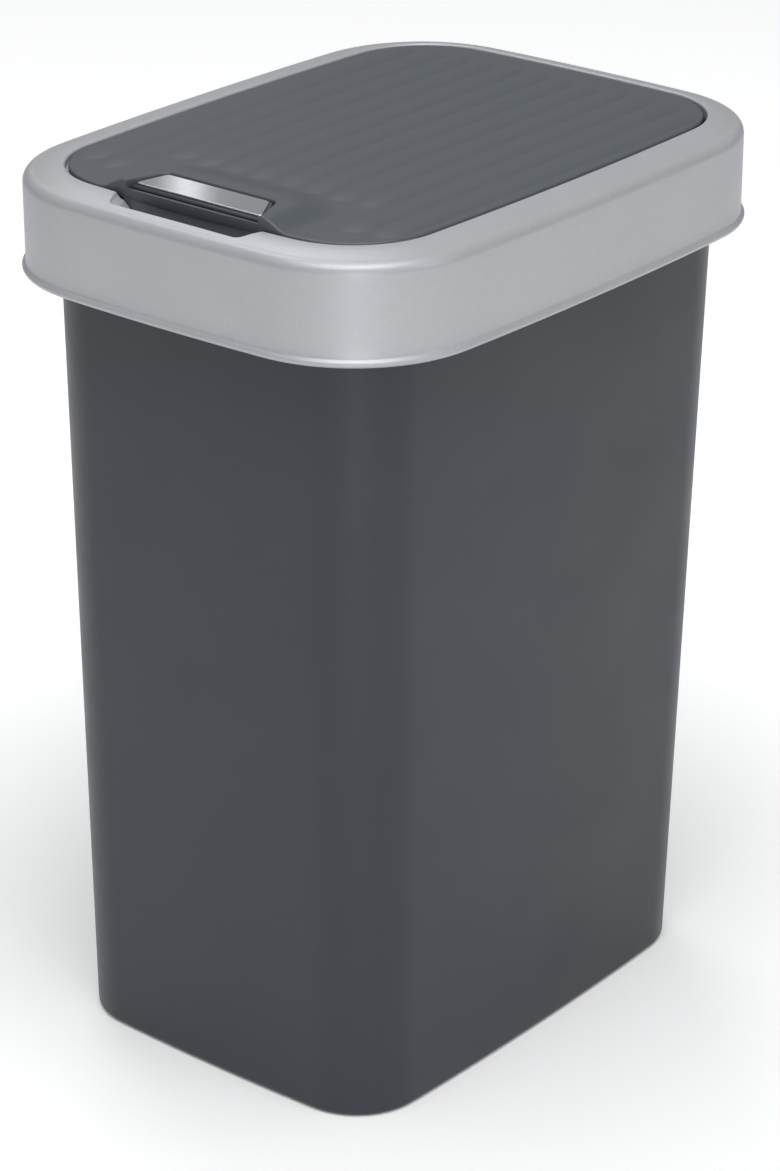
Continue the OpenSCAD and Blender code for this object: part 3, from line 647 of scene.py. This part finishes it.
def hood_height(x, y):
    """The hood swells out of the panel. A point's height follows the share, 0 at the foot and 1 at the
    top, of the smallest outline that still holds it."""
    back = y - FRONT_Y
    low, high = np.zeros_like(x), np.ones_like(x)

    def inside(s):
        a = HOOD_FOOT_HALF + (HOOD_TOP_HALF - HOOD_FOOT_HALF) * s
        b = HOOD_LEN + HOOD_TAIL * (1 - s)
        r = HOOD_FOOT_R + (HOOD_TOP_R - HOOD_FOOT_R) * s
        dx, dy = np.maximum(np.abs(x) - (a - r), 0), np.maximum(back - (b - r), 0)
        return (np.hypot(dx, dy) <= r) & (np.abs(x) <= a) & (back <= b)

    reached = inside(low)
    for _ in range(18):
        middle = (low + high) / 2
        ok = inside(middle)
        low, high = np.where(ok, middle, low), np.where(ok, high, middle)
    return np.where(reached, HOOD_H * (1 - np.cos(np.pi * low)) / 2, 0.0)


def flap_grid():
    """Columns and rows of the core of the flap's top, the loops of points round the core and round the
    flap's edge, and the number of layers between them."""
    nx, ny, layers, border = 220, 190, 30, 17
    core_x, core_y = flap_o[0] / 2 - border, flap_o[1] / 2 - border
    xs = np.linspace(-core_x, core_x, nx + 1)
    ys = np.linspace(-core_y, core_y, ny + 1)
    start = np.concatenate([
        np.column_stack([np.full(ny // 2, core_x), ys[ny // 2:-1]]),
        np.column_stack([xs[::-1][:-1], np.full(nx, core_y)]),
        np.column_stack([np.full(ny, -core_x), ys[::-1][:-1]]),
        np.column_stack([xs[:-1], np.full(nx, -core_y)]),
        np.column_stack([np.full(ny // 2, core_x), ys[:ny // 2]])])
    side, corner, end = quarter(flap_o, 60, 200)
    q = np.concatenate([side, corner, end])
    fine = np.concatenate([q, (q * [-1, 1])[::-1][1:], -q[1:], (q * [1, -1])[::-1][1:-1]])
    fine = np.concatenate([fine, fine[:1]])
    # The outline is met where a ray from the core, turned evenly through each corner, crosses it
    lengths = np.concatenate([[0], np.cumsum(np.linalg.norm(np.diff(fine, axis=0), axis=1))])
    total = lengths[-1]
    knots_core = np.array([0, ny // 2, ny // 2 + nx, ny // 2 + nx + ny, ny // 2 + 2 * nx + ny, 2 * (nx + ny)])
    middle = len(side) + len(corner) // 2
    eighth = lengths[middle]
    knots_out = np.array([0, eighth, total / 2 - eighth, total / 2 + eighth, total - eighth, total])
    at = np.interp(np.arange(len(start)), knots_core, knots_out)
    outer = np.column_stack([np.interp(at, lengths, fine[:, k]) for k in (0, 1)])
    return xs, ys, start, outer, layers


def flap_top():
    xs, ys, start, outer, layers = flap_grid()
    nx, ny = len(xs) - 1, len(ys) - 1
    gx, gy = np.meshgrid(xs, ys)
    core = np.column_stack([gx.ravel(), gy.ravel()])
    faces = [(j * (nx + 1) + i, j * (nx + 1) + i + 1, (j + 1) * (nx + 1) + i + 1, (j + 1) * (nx + 1) + i)
             for j in range(ny) for i in range(nx)]
    index = {(round(x, 4), round(y, 4)): k for k, (x, y) in enumerate(core)}
    first = [index[(round(x, 4), round(y, 4))] for x, y in start]
    n = len(start)
    shares = np.linspace(0, 1, layers + 1)[1:]
    shares = 1 - (1 - shares) ** 1.25
    loops, plan = [first], [core]
    for s in shares:
        base = sum(len(p) for p in plan)
        plan.append(start * (1 - s) + outer * s)
        loops.append(list(range(base, base + n)))
    for a, b in zip(loops, loops[1:]):
        faces += [(a[j], b[j], b[(j + 1) % n], a[(j + 1) % n]) for j in range(n)]
    plan = np.concatenate(plan)
    return plan, faces, loops[-1]


def edge_distance(x, y):
    """Distance inwards from the flap's outline, near enough for its rounded edge."""
    w, d, r, bx, by = flap_o
    half_w = w / 2 - bx * np.clip(np.abs(y) / (d / 2 - r), 0, 1) ** 2
    half_d = d / 2 - by * np.clip(np.abs(x) / (w / 2 - r), 0, 1) ** 2
    dx, dy = np.abs(x) - (half_w - r), np.abs(y) - (half_d - r)
    return r - np.hypot(np.maximum(dx, 0), np.maximum(dy, 0)) - np.minimum(np.maximum(dx, dy), 0)


def flap_panel():
    edge_r = 0.9
    plan, faces, rim = flap_top()
    y = plan[:, 1] + flap_shift
    z = TOP_Z + ridge_height(plan[:, 0], y) + hood_height(plan[:, 0], y)
    outer = plan[rim]
    # Rounded edge, then the side wall, then the underside
    d = np.clip(edge_distance(plan[:, 0], plan[:, 1]), 0, edge_r)
    z -= edge_r - np.sqrt(np.maximum(0, edge_r ** 2 - (edge_r - d) ** 2))
    verts = [np.column_stack([plan[:, 0], y, z])]
    n = len(rim)
    loops = [rim]
    for drop, g in ((0.6, 0), (1.0, -0.12), (1.0, -0.5)):
        base = sum(len(v) for v in verts)
        level = (TOP_Z - edge_r) * (1 - drop) + UNDER_Z * drop
        shrink = 1 + g / 70
        verts.append(np.column_stack([outer * shrink + [0, flap_shift], np.full(n, level)]))
        loops.append(list(range(base, base + n)))
    for a, b in zip(loops, loops[1:]):
        faces += [(a[j], b[j], b[(j + 1) % n], a[(j + 1) % n]) for j in range(n)]
    faces.append(tuple(loops[-1]))
    return np.concatenate(verts), faces


def trim_plan(g):
    half, back = TRIM_W / 2 + g, TRIM_BACK_W / 2 + g
    front, rear = TRIM_FRONT_Y - g, TRIM_REAR_Y + g
    middle = rounded([(0, front), (half, front), (back, rear), (-back, rear), (-half, front), (0, front)],
                     [0, 0.7, 2.2 + g, 2.2 + g, 0.7, 0], 6, 6)
    return middle[:-1]


def mouth():
    """Opening in the hood for the button's plate: a shallow part over the front wall and a deep one
    behind it."""
    margin, roof_edge = BUTTON_MARGIN + 0.7, TOP_Z + HOOD_H
    half = TRIM_W / 2 + margin

    def solid(y_front, low):
        rings = []
        for g, z in ((0, low), (0, roof_edge - 0.5), (0.08, roof_edge - 0.3), (0.3, roof_edge - 0.06),
                     (0.5, roof_edge + 0.06), (0.6, roof_edge + 3)):
            rear = trim_plan(margin + g)
            rear = rear[rear[:, 1] > TRIM_FRONT_Y]
            p = np.concatenate([[(-half - g, y_front), (half + g, y_front)], rear])
            rings.append(np.column_stack([p, np.full(len(p), z)]))
        return skin(rings)

    return solid(FRONT_Y - 2, FRONT_WALL_Z), solid(WELL_FRONT, MOUTH_FLOOR_Z)


def well_hole():
    return box((-WELL_HALF, WELL_FRONT, TOP_Z - 20), (WELL_HALF, WELL_REAR, ROOF_Z))


def scoop():
    """A concave shell that hangs from the flap's front edge and fills the notch."""
    r, t, z0, sweep = 9.2, 2.0, TOP_Z - 1.3, 80
    gap, cy = 0.7, FRONT_Y + 0.5 - r
    floor_z = KEEPER_Z + KEEPER_T + 0.2

    def half_width(y, z):
        t = np.clip((TOP_Z - z) / NOTCH_H, 0, 1)
        front = FRONT_Y - NOTCH_REACH + gap + 1.2 * t
        half = NOTCH_BACK + NOTCH_FALL * (y - (FRONT_Y - FLAP_GAP)) - gap - NOTCH_DRAFT * t
        lead = np.clip(NOTCH_R - (y - front), 0, NOTCH_R)
        return half - (NOTCH_R - math.sqrt(max(0, NOTCH_R ** 2 - lead ** 2)))

    def section(radius, ends):
        pts = [(cy + radius * math.cos(a), z0 + radius * math.sin(a))
               for a in np.radians(np.linspace(0, -sweep, 26))]
        return [ends] + pts

    inner = section(r, (cy + r, z0 + 0.9))
    outer = section(r + t, (cy + r + t, z0 + 0.9))
    columns = np.sin(np.linspace(-1, 1, 41) * math.pi / 2)
    front_limit = FRONT_Y - NOTCH_REACH + gap + 1.2

    def row(y, z):
        y, z = max(y, front_limit), max(z, floor_z)
        return np.array([(c * half_width(y, z), y, z) for c in columns])

    top = [row(y, z) for y, z in inner]
    under = [row(y, z) for y, z in outer]
    return skin(top + under[::-1], closed=True, wrap=False), len(columns), len(top) * 2


def close_sides(part, columns, rows):
    """Ends for a skin whose rows are open at both sides."""
    verts, faces = part
    left = [i * columns for i in range(rows)]
    right = [i * columns + columns - 1 for i in range(rows)]
    half = rows // 2
    for edge, turn in ((left, False), (right, True)):
        for i in range(half - 1):
            face = (edge[i], edge[i + 1], edge[rows - 2 - i], edge[rows - 1 - i])
            faces.append(face[::-1] if turn else face)
    return verts, faces


def hinge_span():
    """Distance of the hinges' middles from the part's middle, and half a cradle's width."""
    low, high = cad("hinge_cradle_right")
    return (low[0] + high[0]) / 2, (high[0] - low[0]) / 2


def flap_ribs():
    """Stiffening rib and hinge knuckles."""
    rib_in, rib_t, rib_h = 6, 1.8, 5.5
    front, rear = FRONT_Y + 10, AXIS_Y - 12
    o = (flap_o[0] - 2 * rib_in, rear - front, flap_o[2] - rib_in, LONG_BOW, SHORT_BOW)
    shift = (front + rear) / 2
    low, high = UNDER_Z - rib_h, UNDER_Z + 0.3
    parts = [skin([ring(o, high, shift), ring(o, low + 0.4, shift), ring(grow(o, -0.3), low, shift),
                   ring(grow(o, 0.3 - rib_t), low, shift), ring(grow(o, -rib_t), low + 0.4, shift),
                   ring(grow(o, -rib_t), high, shift)], closed=True)]
    hinge_x, half = hinge_span()
    barrel = 3.0
    inner = half - EAR_T - SIDE_GAP - KNUCKLE_T
    hub = arc(AXIS_Y, AXIS_Z, barrel, 180, 360, 24)
    hub = np.concatenate([[(AXIS_Y - barrel - 1.2, UNDER_Z + 0.3), (AXIS_Y - barrel - 0.4, UNDER_Z - 0.4)], hub,
                          [(AXIS_Y + barrel, UNDER_Z + 0.3)]])
    for side in (-1, 1):
        for x in (inner, -inner - KNUCKLE_T):
            x0 = side * hinge_x + x
            parts.append(prism(hub, "x", x0, x0 + KNUCKLE_T))
    return join(*parts)


def well():
    """The box under the hood that holds the button."""
    half, front, rear = WELL_HALF, WELL_FRONT, WELL_REAR
    wall, low, top = 2, TOP_Z - 7.5, UNDER_Z + 0.3
    walls = [box((-half - wall, front, low), (-half, rear + wall, top)),
             box((half, front, low), (half + wall, rear + wall, top)),
             box((-half, rear, low), (half, rear + wall, top)),
             box((-half - wall, PIVOT_Y - 8.5, low), (half + wall, rear + wall, low + wall))]
    return join(*walls)


flap_piece = make("flap_panel", flap_panel(), sharp=50)
scoop_piece = make("flap_scoop", close_sides(*scoop()), sharp=40)
for piece in (flap_piece, scoop_piece):
    for tool in (*mouth(), well_hole()):
        cut(piece, tool)
    tidy_mesh(piece.data, 38)
settle(flap_piece, "flap", "flap_plastic", flap_plastic, "flap")
settle(scoop_piece, "flap", "flap_plastic", flap_plastic)
ribs_piece = make("flap_ribs", flap_ribs(), sharp=40)
settle(ribs_piece, "flap", "flap_plastic", flap_plastic)
well_piece = make("flap_well", well(), bevel=0.25)
settle(well_piece, "flap", "flap_plastic", flap_plastic)


# Release button and its chrome trim


def tilt(points):
    """Turns points from the trim's own level plane to the button's rest position."""
    p = np.asarray(points, float) - [0, TRIM_FRONT_Y, 0]
    a = math.radians(BUTTON_TILT)
    y, z = p[:, 1] * math.cos(a) - p[:, 2] * math.sin(a), p[:, 1] * math.sin(a) + p[:, 2] * math.cos(a)
    return np.column_stack([p[:, 0], y + TRIM_FRONT_Y, z + BUTTON_Z])


def slab(levels):
    """A plate through (growth, height) levels, tilted with the button."""
    rings = []
    for g, z in levels:
        p = trim_plan(g)
        rings.append(np.column_stack([p, np.full(len(p), z)]))
    verts, faces = skin(rings)
    return tilt(verts), faces


def trim():
    """The bright plate, with its upper edge rounded by e."""
    t, e = TRIM_T, 0.22
    turn = [(-e * (1 - math.cos(a)), -e * (1 - math.sin(a))) for a in np.radians([0, 22, 45, 67, 90])]
    return slab([(0, -t)] + turn)


def button():
    """The plate with its front bar, and the arms with the barbed leg."""
    m, t, e = BUTTON_MARGIN, TRIM_T, 0.3
    plate = slab([(m - 0.2, -t - PLATE_T), (m, -t - PLATE_T + 0.2), (m, -t - e)]
                 + [(m - e * (1 - math.cos(a)), -t - e + e * math.sin(a)) for a in np.radians([30, 60, 90])])
    bar_r, bar_rise, half = 0.85, 0.3, TRIM_W / 2 + m
    rings = []
    for x, r in ((-half, 0.5), (-half + 0.15, 0.8), (-half + 0.5, 1.0),
                 (half - 0.5, 1.0), (half - 0.15, 0.8), (half, 0.5)):
        q = arc(TRIM_FRONT_Y - m + 0.02, bar_rise - t - bar_r, r * bar_r, 0, 345, 23)
        rings.append(np.column_stack([np.full(len(q), x), q]))
    bar_verts, bar_faces = skin(rings)
    arm_front, boss_x, boss_t = TRIM_FRONT_Y + 2, 19, 4
    arm = np.concatenate([
        [(arm_front, BUTTON_Z - PLATE_T - 1.2), (arm_front, BUTTON_Z - PLATE_T - 0.4),
         (TRIM_REAR_Y, BUTTON_Z - 0.3), (TRIM_REAR_Y + 1, ROOF_Z - 0.4)],
        arc(PIVOT_Y, PIVOT_Z, BOSS_R, 90, -90, 20)])
    arms = [prism(arm[::-1], "x", s * boss_x - boss_t / 2, s * boss_x + boss_t / 2) for s in (-1, 1)]
    leg_half, leg_t, leg_y = 8, 2, FRONT_Y + 6.9
    tip, barb_z, barb_h = KEEPER_EDGE - CATCH, KEEPER_Z - 0.3, 3.4
    high = BUTTON_Z - PLATE_T + 0.1
    leg = [(leg_y, high), (leg_y, barb_z), (tip, barb_z), (tip, barb_z - 0.6),
           (leg_y + leg_t * 0.6, barb_z - barb_h),
           (leg_y + leg_t, barb_z - barb_h + 0.6), (leg_y + leg_t, high)]
    return join(plate, (tilt(bar_verts), bar_faces)), join(*arms, prism(leg, "x", -leg_half, leg_half))


trim_piece = make("chrome_plate", trim(), sharp=50)
settle(trim_piece, "button", "chrome", chrome, "chrome_trim")
plate, levers = button()
plate_piece = make("button_plate", plate, sharp=50)
settle(plate_piece, "button", "dark_plastic", dark_plastic, "release_button")
lever_piece = make("button_levers", levers, bevel=0.2)
settle(lever_piece, "button", "dark_plastic", dark_plastic)


# Springs, on the paths of the CAD springs, in round wire


def hinge_coil(side):
    hinge_x, half = hinge_span()
    wire, turns, r, leg = 0.7, 7.5, 2.3, 7
    pitch = (2 * (half - EAR_T - SIDE_GAP - KNUCKLE_T - 0.6) - wire) / turns
    x0 = side * hinge_x - pitch * turns / 2
    a = np.linspace(0, turns, int(turns * 24) + 1)
    angle = math.pi / 2 - 2 * math.pi * a
    coil = np.column_stack([x0 + pitch * a, AXIS_Y + r * np.cos(angle), AXIS_Z + r * np.sin(angle)])
    first = [(x0, AXIS_Y - s, AXIS_Z + r) for s in (leg, leg / 2, wire)]
    last = [(x0 + pitch * turns, AXIS_Y - s, AXIS_Z - r) for s in (wire, leg / 2, leg)]
    return tube(np.concatenate([first, coil, last]), wire / 2, (1, 0, 0))


def button_coil():
    low, high = cad("button_spring")
    wire, turns = 0.6, 5
    r, y = (high[0] - low[0] - wire) / 2, PIVOT_Y - 5.2
    z0, z1 = low[2] + wire / 2, high[2] - wire / 2
    # A flat turn at each end, open turns between
    a = np.linspace(0, turns, turns * 24 + 1)
    share = np.clip((a - 0.4) / (turns - 0.8), 0, 1)
    return tube(np.column_stack([r * np.cos(2 * math.pi * a), y + r * np.sin(2 * math.pi * a),
                                 z0 + (z1 - z0) * share]), wire / 2, (0, 0, 1))


for side, name in ((-1, "left"), (1, "right")):
    settle(make("torsion_spring_" + name, hinge_coil(side), sharp=60), "lid", "steel", steel,
           "hinge_spring_" + name)
settle(make("compression_spring", button_coil(), sharp=60), "flap", "steel", steel, "button_spring")

for node, material in (("hinge_cradle_left", silver_plastic), ("hinge_cradle_right", silver_plastic),
                       ("cradle_screws", steel), ("hinge_pin_left", steel), ("hinge_pin_right", steel),
                       ("button_pin", steel)):
    obj = frame["nodes"][node]
    obj.data.materials.clear()
    obj.data.materials.append(material)


# Camera, at the photograph's angle

TARGET, DISTANCE = Vector((0, 0, 0.15784)), 1.3912
AZIMUTH, ELEVATION = math.radians(39.36), math.radians(24.13)
toward = Vector((math.sin(AZIMUTH) * math.cos(ELEVATION), -math.cos(AZIMUTH) * math.cos(ELEVATION),
                 math.sin(ELEVATION)))
camera_data = bpy.data.cameras.new("camera")
camera_data.lens, camera_data.sensor_width = 115.91, 36
camera = bpy.data.objects.new("camera", camera_data)
camera.location = TARGET + toward * DISTANCE
camera.rotation_mode = "QUATERNION"
camera.rotation_quaternion = (-toward).to_track_quat("-Z", "Y")
bpy.context.scene.collection.objects.link(camera)
bpy.context.scene.camera = camera


# Floor, world and soft studio lamps


def seen(tree):
    """1 for rays that show the surroundings to the camera, directly, in a reflection or through glass."""
    path = tree.nodes.new("ShaderNodeLightPath")
    total = path.outputs["Is Camera Ray"]
    for key in ("Is Glossy Ray", "Is Transmission Ray"):
        n = tree.nodes.new("ShaderNodeMath")
        n.operation, n.use_clamp = "ADD", True
        tree.links.new(total, n.inputs[0])
        tree.links.new(path.outputs[key], n.inputs[1])
        total = n.outputs[0]
    return total


def plain_surface(name, color, near, far, near_at=0.13, far_at=0.45):
    """A pale matt surface, seen as lifted towards white: by near up to the distance near_at from the
    middle, in metres, rising to far at far_at, where the lamps don't reach."""
    s = Shader(name, color, 0.9, Specular_IOR_Level=0.1)
    s.shader.inputs["Emission Color"].default_value = (1, 1, 1, 1)
    distance = s.add("ShaderNodeVectorMath", operation="LENGTH")
    s.link(s.add("ShaderNodeNewGeometry").outputs["Position"], distance.inputs[0])
    lift = s.spread(distance.outputs["Value"], near, far, near_at, far_at)
    n = s.add("ShaderNodeMath", operation="MULTIPLY")
    s.link(lift, n.inputs[1])
    s.link(seen(s.tree), n.inputs[0])
    s.link(n.outputs[0], s.shader.inputs["Emission Strength"])
    return s.done(s.blend(tint(color, 0.995), color, s.noise(6, 2)))


def floor():
    size = 4.0
    mesh = bpy.data.meshes.new("floor")
    corners = [(-size, -size, 0), (size, -size, 0), (size, size, 0), (-size, size, 0)]
    mesh.from_pydata(corners, [], [(0, 1, 2, 3)])
    obj = bpy.data.objects.new("floor", mesh)
    bpy.context.scene.collection.objects.link(obj)
    mesh.materials.append(plain_surface("floor", (0.98, 0.98, 0.98), 0.085, 0.3))
    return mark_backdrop(obj)


def world(base, zenith, strip, strip_azimuth, strip_width):
    """A grey studio: brighter overhead, with an upright strip of light at one azimuth."""
    w = bpy.data.worlds.new("world")
    bpy.context.scene.world = w
    w.use_nodes = True
    tree = w.node_tree
    background = tree.nodes["Background"]
    background.inputs["Color"].default_value = (0.97, 0.985, 1, 1)

    def math_node(operation, *values):
        n = tree.nodes.new("ShaderNodeMath")
        n.operation = operation
        for socket, value in zip(n.inputs, values):
            if isinstance(value, (int, float)):
                socket.default_value = value
            else:
                tree.links.new(value, socket)
        return n.outputs[0]

    coords = tree.nodes.new("ShaderNodeTexCoord").outputs["Generated"]
    split = tree.nodes.new("ShaderNodeSeparateXYZ")
    tree.links.new(coords, split.inputs[0])
    x, y, z = split.outputs
    rise = math_node("MAXIMUM", z, 0.0)
    a = math.radians(strip_azimuth)
    across = math_node("ADD", math_node("MULTIPLY", x, math.cos(a)), math_node("MULTIPLY", y, math.sin(a)))
    ahead = math_node("SUBTRACT", math_node("MULTIPLY", x, math.sin(a)), math_node("MULTIPLY", y, math.cos(a)))
    off = math_node("DIVIDE", across, strip_width)
    glow = math_node("POWER", math.e, math_node("MULTIPLY", math_node("MULTIPLY", off, off), -1.0))
    glow = math_node("MULTIPLY", glow, math_node("GREATER_THAN", ahead, 0.0))
    total = math_node("ADD", math_node("ADD", math_node("MULTIPLY", rise, zenith), base),
                      math_node("MULTIPLY", glow, strip))
    tree.links.new(total, background.inputs["Strength"])


LAMP_AIM = Vector((0, 0, 0.2))


def lamp(name, azimuth, elevation, distance, size, power):
    """An area lamp seen from the object at that azimuth, 0 at the front and 90 on the right."""
    a, e = math.radians(azimuth), math.radians(elevation)
    data = bpy.data.lights.new(name, "AREA")
    data.shape, data.size, data.size_y, data.energy = "RECTANGLE", size[0], size[1], power
    obj = bpy.data.objects.new(name, data)
    toward = Vector((math.sin(a) * math.cos(e), -math.cos(a) * math.cos(e), math.sin(e)))
    obj.location = LAMP_AIM + toward * distance
    obj.rotation_mode = "QUATERNION"
    obj.rotation_quaternion = (-toward).to_track_quat("-Z", "Y")
    bpy.context.scene.collection.objects.link(obj)


floor()
world(0.255, 0.2, 0.75, -133.1, 0.006)
lamp("top", 40, 70, 1.6, (1.1, 1.1), 17)
lamp("key", 46, 16, 2.2, (0.4, 1.4), 2)
lamp("strip", 40, 5, 1.6, (0.12, 0.7), 3.4)
lamp("right", 98, 28, 2.2, (0.7, 1.2), 4)
lamp("left", -124, 54, 2.2, (0.8, 0.8), 6.5)
bpy.context.scene.view_settings.view_transform = "Standard"
